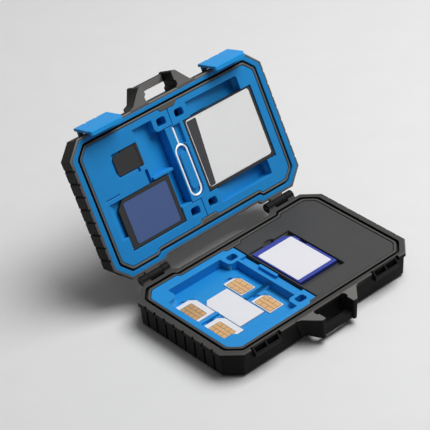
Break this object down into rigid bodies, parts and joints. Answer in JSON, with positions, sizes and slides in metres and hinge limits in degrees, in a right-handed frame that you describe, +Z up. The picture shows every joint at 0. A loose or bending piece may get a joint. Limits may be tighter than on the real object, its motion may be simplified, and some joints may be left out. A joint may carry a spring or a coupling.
{
  "type": "memory card case",
  "caption": "Hinged hard case with snap latches and a carry handle, shown open, with lift-out trays holding camera memory cards, SIM cards and an eject pin.",
  "frame": {"origin": "middle of the base's flat underside", "axes": "+X along the hinge to the right, -Y toward the handle, +Z up from the underside to the lid"},
  "size_m": [0.1184, 0.1266, 0.087],
  "materials": {
    "black_shell": "fine satin texture",
    "black_tray": "soft matte",
    "blue_tray": "soft satin",
    "blue_seal": "soft satin",
    "blue_latch": "satin",
    "steel": "bright drawn wire",
    "card_black": "fine matte",
    "card_blue": "satin",
    "label_grey": "blank printed film",
    "label_navy": "blank printed film",
    "label_white": "blank printed film",
    "sim_white": "smooth",
    "contacts": "gold plated"
  },
  "bodies": {
    "base": {"base_shell": "black_shell", "hinge_pin_left": "steel", "hinge_pin_right": "steel"},
    "lid": {"lid_shell": "black_shell", "lid_seal": "blue_seal"},
    "latch_left": {"latch_left": "blue_latch"},
    "latch_right": {"latch_right": "blue_latch"},
    "lid_tray_left": {"lid_tray_left": "blue_tray"},
    "lid_tray_right": {"lid_tray_right": "blue_tray"},
    "sim_tray": {"sim_tray": "blue_tray"},
    "sd_tray": {"sd_tray": "black_tray"},
    "cf": {"cf_card": "card_black", "cf_label": "label_grey"},
    "lid_sd": {"lid_sd_card": "card_black", "lid_sd_label": "label_navy"},
    "micro_sd": {"micro_sd_card": "card_black"},
    "eject_pin": {"eject_pin": "steel"},
    "base_sd": {"base_sd_card": "card_blue", "base_sd_label": "label_white"},
    "mini_sim": {"mini_sim_card": "sim_white"},
    "micro_sim_back": {"micro_sim_back": "sim_white", "micro_sim_back_contacts": "contacts"},
    "micro_sim_front": {"micro_sim_front": "sim_white", "micro_sim_front_contacts": "contacts"},
    "nano_sim_back": {"nano_sim_back": "sim_white", "nano_sim_back_contacts": "contacts"},
    "nano_sim_front": {"nano_sim_front": "sim_white", "nano_sim_front_contacts": "contacts"}
  },
  "joints": [
    {"name": "lid_hinge", "type": "hinge", "parent": "base", "child": "lid", "pos_m": [0, 0.03805, 0.014], "axis": [-1, 0, 0], "range_deg": [-116, 0]},
    {"name": "latch_left_hinge", "type": "hinge", "parent": "lid", "child": "latch_left", "pos_m": [-0.038, 0.07471, 0.07912], "axis": [-1, 0, 0], "range_deg": [0, 95]},
    {"name": "latch_right_hinge", "type": "hinge", "parent": "lid", "child": "latch_right", "pos_m": [0.038, 0.07471, 0.07912], "axis": [-1, 0, 0], "range_deg": [0, 95]},
    {"name": "lid_tray_left_lift", "type": "slide", "parent": "lid", "child": "lid_tray_left", "axis": [0, -0.8988, 0.4384], "range_m": [0, 0.01]},
    {"name": "lid_tray_right_lift", "type": "slide", "parent": "lid", "child": "lid_tray_right", "axis": [0, -0.8988, 0.4384], "range_m": [0, 0.01]},
    {"name": "sim_tray_lift", "type": "slide", "parent": "base", "child": "sim_tray", "axis": [0, 0, 1], "range_m": [0, 0.011]},
    {"name": "sd_tray_lift", "type": "slide", "parent": "base", "child": "sd_tray", "axis": [0, 0, 1], "range_m": [0, 0.011]},
    {"name": "cf_lift", "type": "slide", "parent": "lid_tray_right", "child": "cf", "axis": [0, -0.8988, 0.4384], "range_m": [0, 0.006]},
    {"name": "eject_pin_lift", "type": "slide", "parent": "lid_tray_right", "child": "eject_pin", "axis": [0, -0.8988, 0.4384], "range_m": [0, 0.004]},
    {"name": "lid_sd_lift", "type": "slide", "parent": "lid_tray_left", "child": "lid_sd", "axis": [0, -0.8988, 0.4384], "range_m": [0, 0.006]},
    {"name": "micro_sd_lift", "type": "slide", "parent": "lid_tray_left", "child": "micro_sd", "axis": [0, -0.8988, 0.4384], "range_m": [0, 0.004]},
    {"name": "base_sd_lift", "type": "slide", "parent": "sd_tray", "child": "base_sd", "axis": [0, 0, 1], "range_m": [0, 0.006]},
    {"name": "mini_sim_lift", "type": "slide", "parent": "sim_tray", "child": "mini_sim", "axis": [0, 0, 1], "range_m": [0, 0.004]},
    {"name": "micro_sim_back_lift", "type": "slide", "parent": "sim_tray", "child": "micro_sim_back", "axis": [0, 0, 1], "range_m": [0, 0.004]},
    {"name": "micro_sim_front_lift", "type": "slide", "parent": "sim_tray", "child": "micro_sim_front", "axis": [0, 0, 1], "range_m": [0, 0.004]},
    {"name": "nano_sim_back_lift", "type": "slide", "parent": "sim_tray", "child": "nano_sim_back", "axis": [0, 0, 1], "range_m": [0, 0.004]},
    {"name": "nano_sim_front_lift", "type": "slide", "parent": "sim_tray", "child": "nano_sim_front", "axis": [0, 0, 1], "range_m": [0, 0.004]}
  ]
}
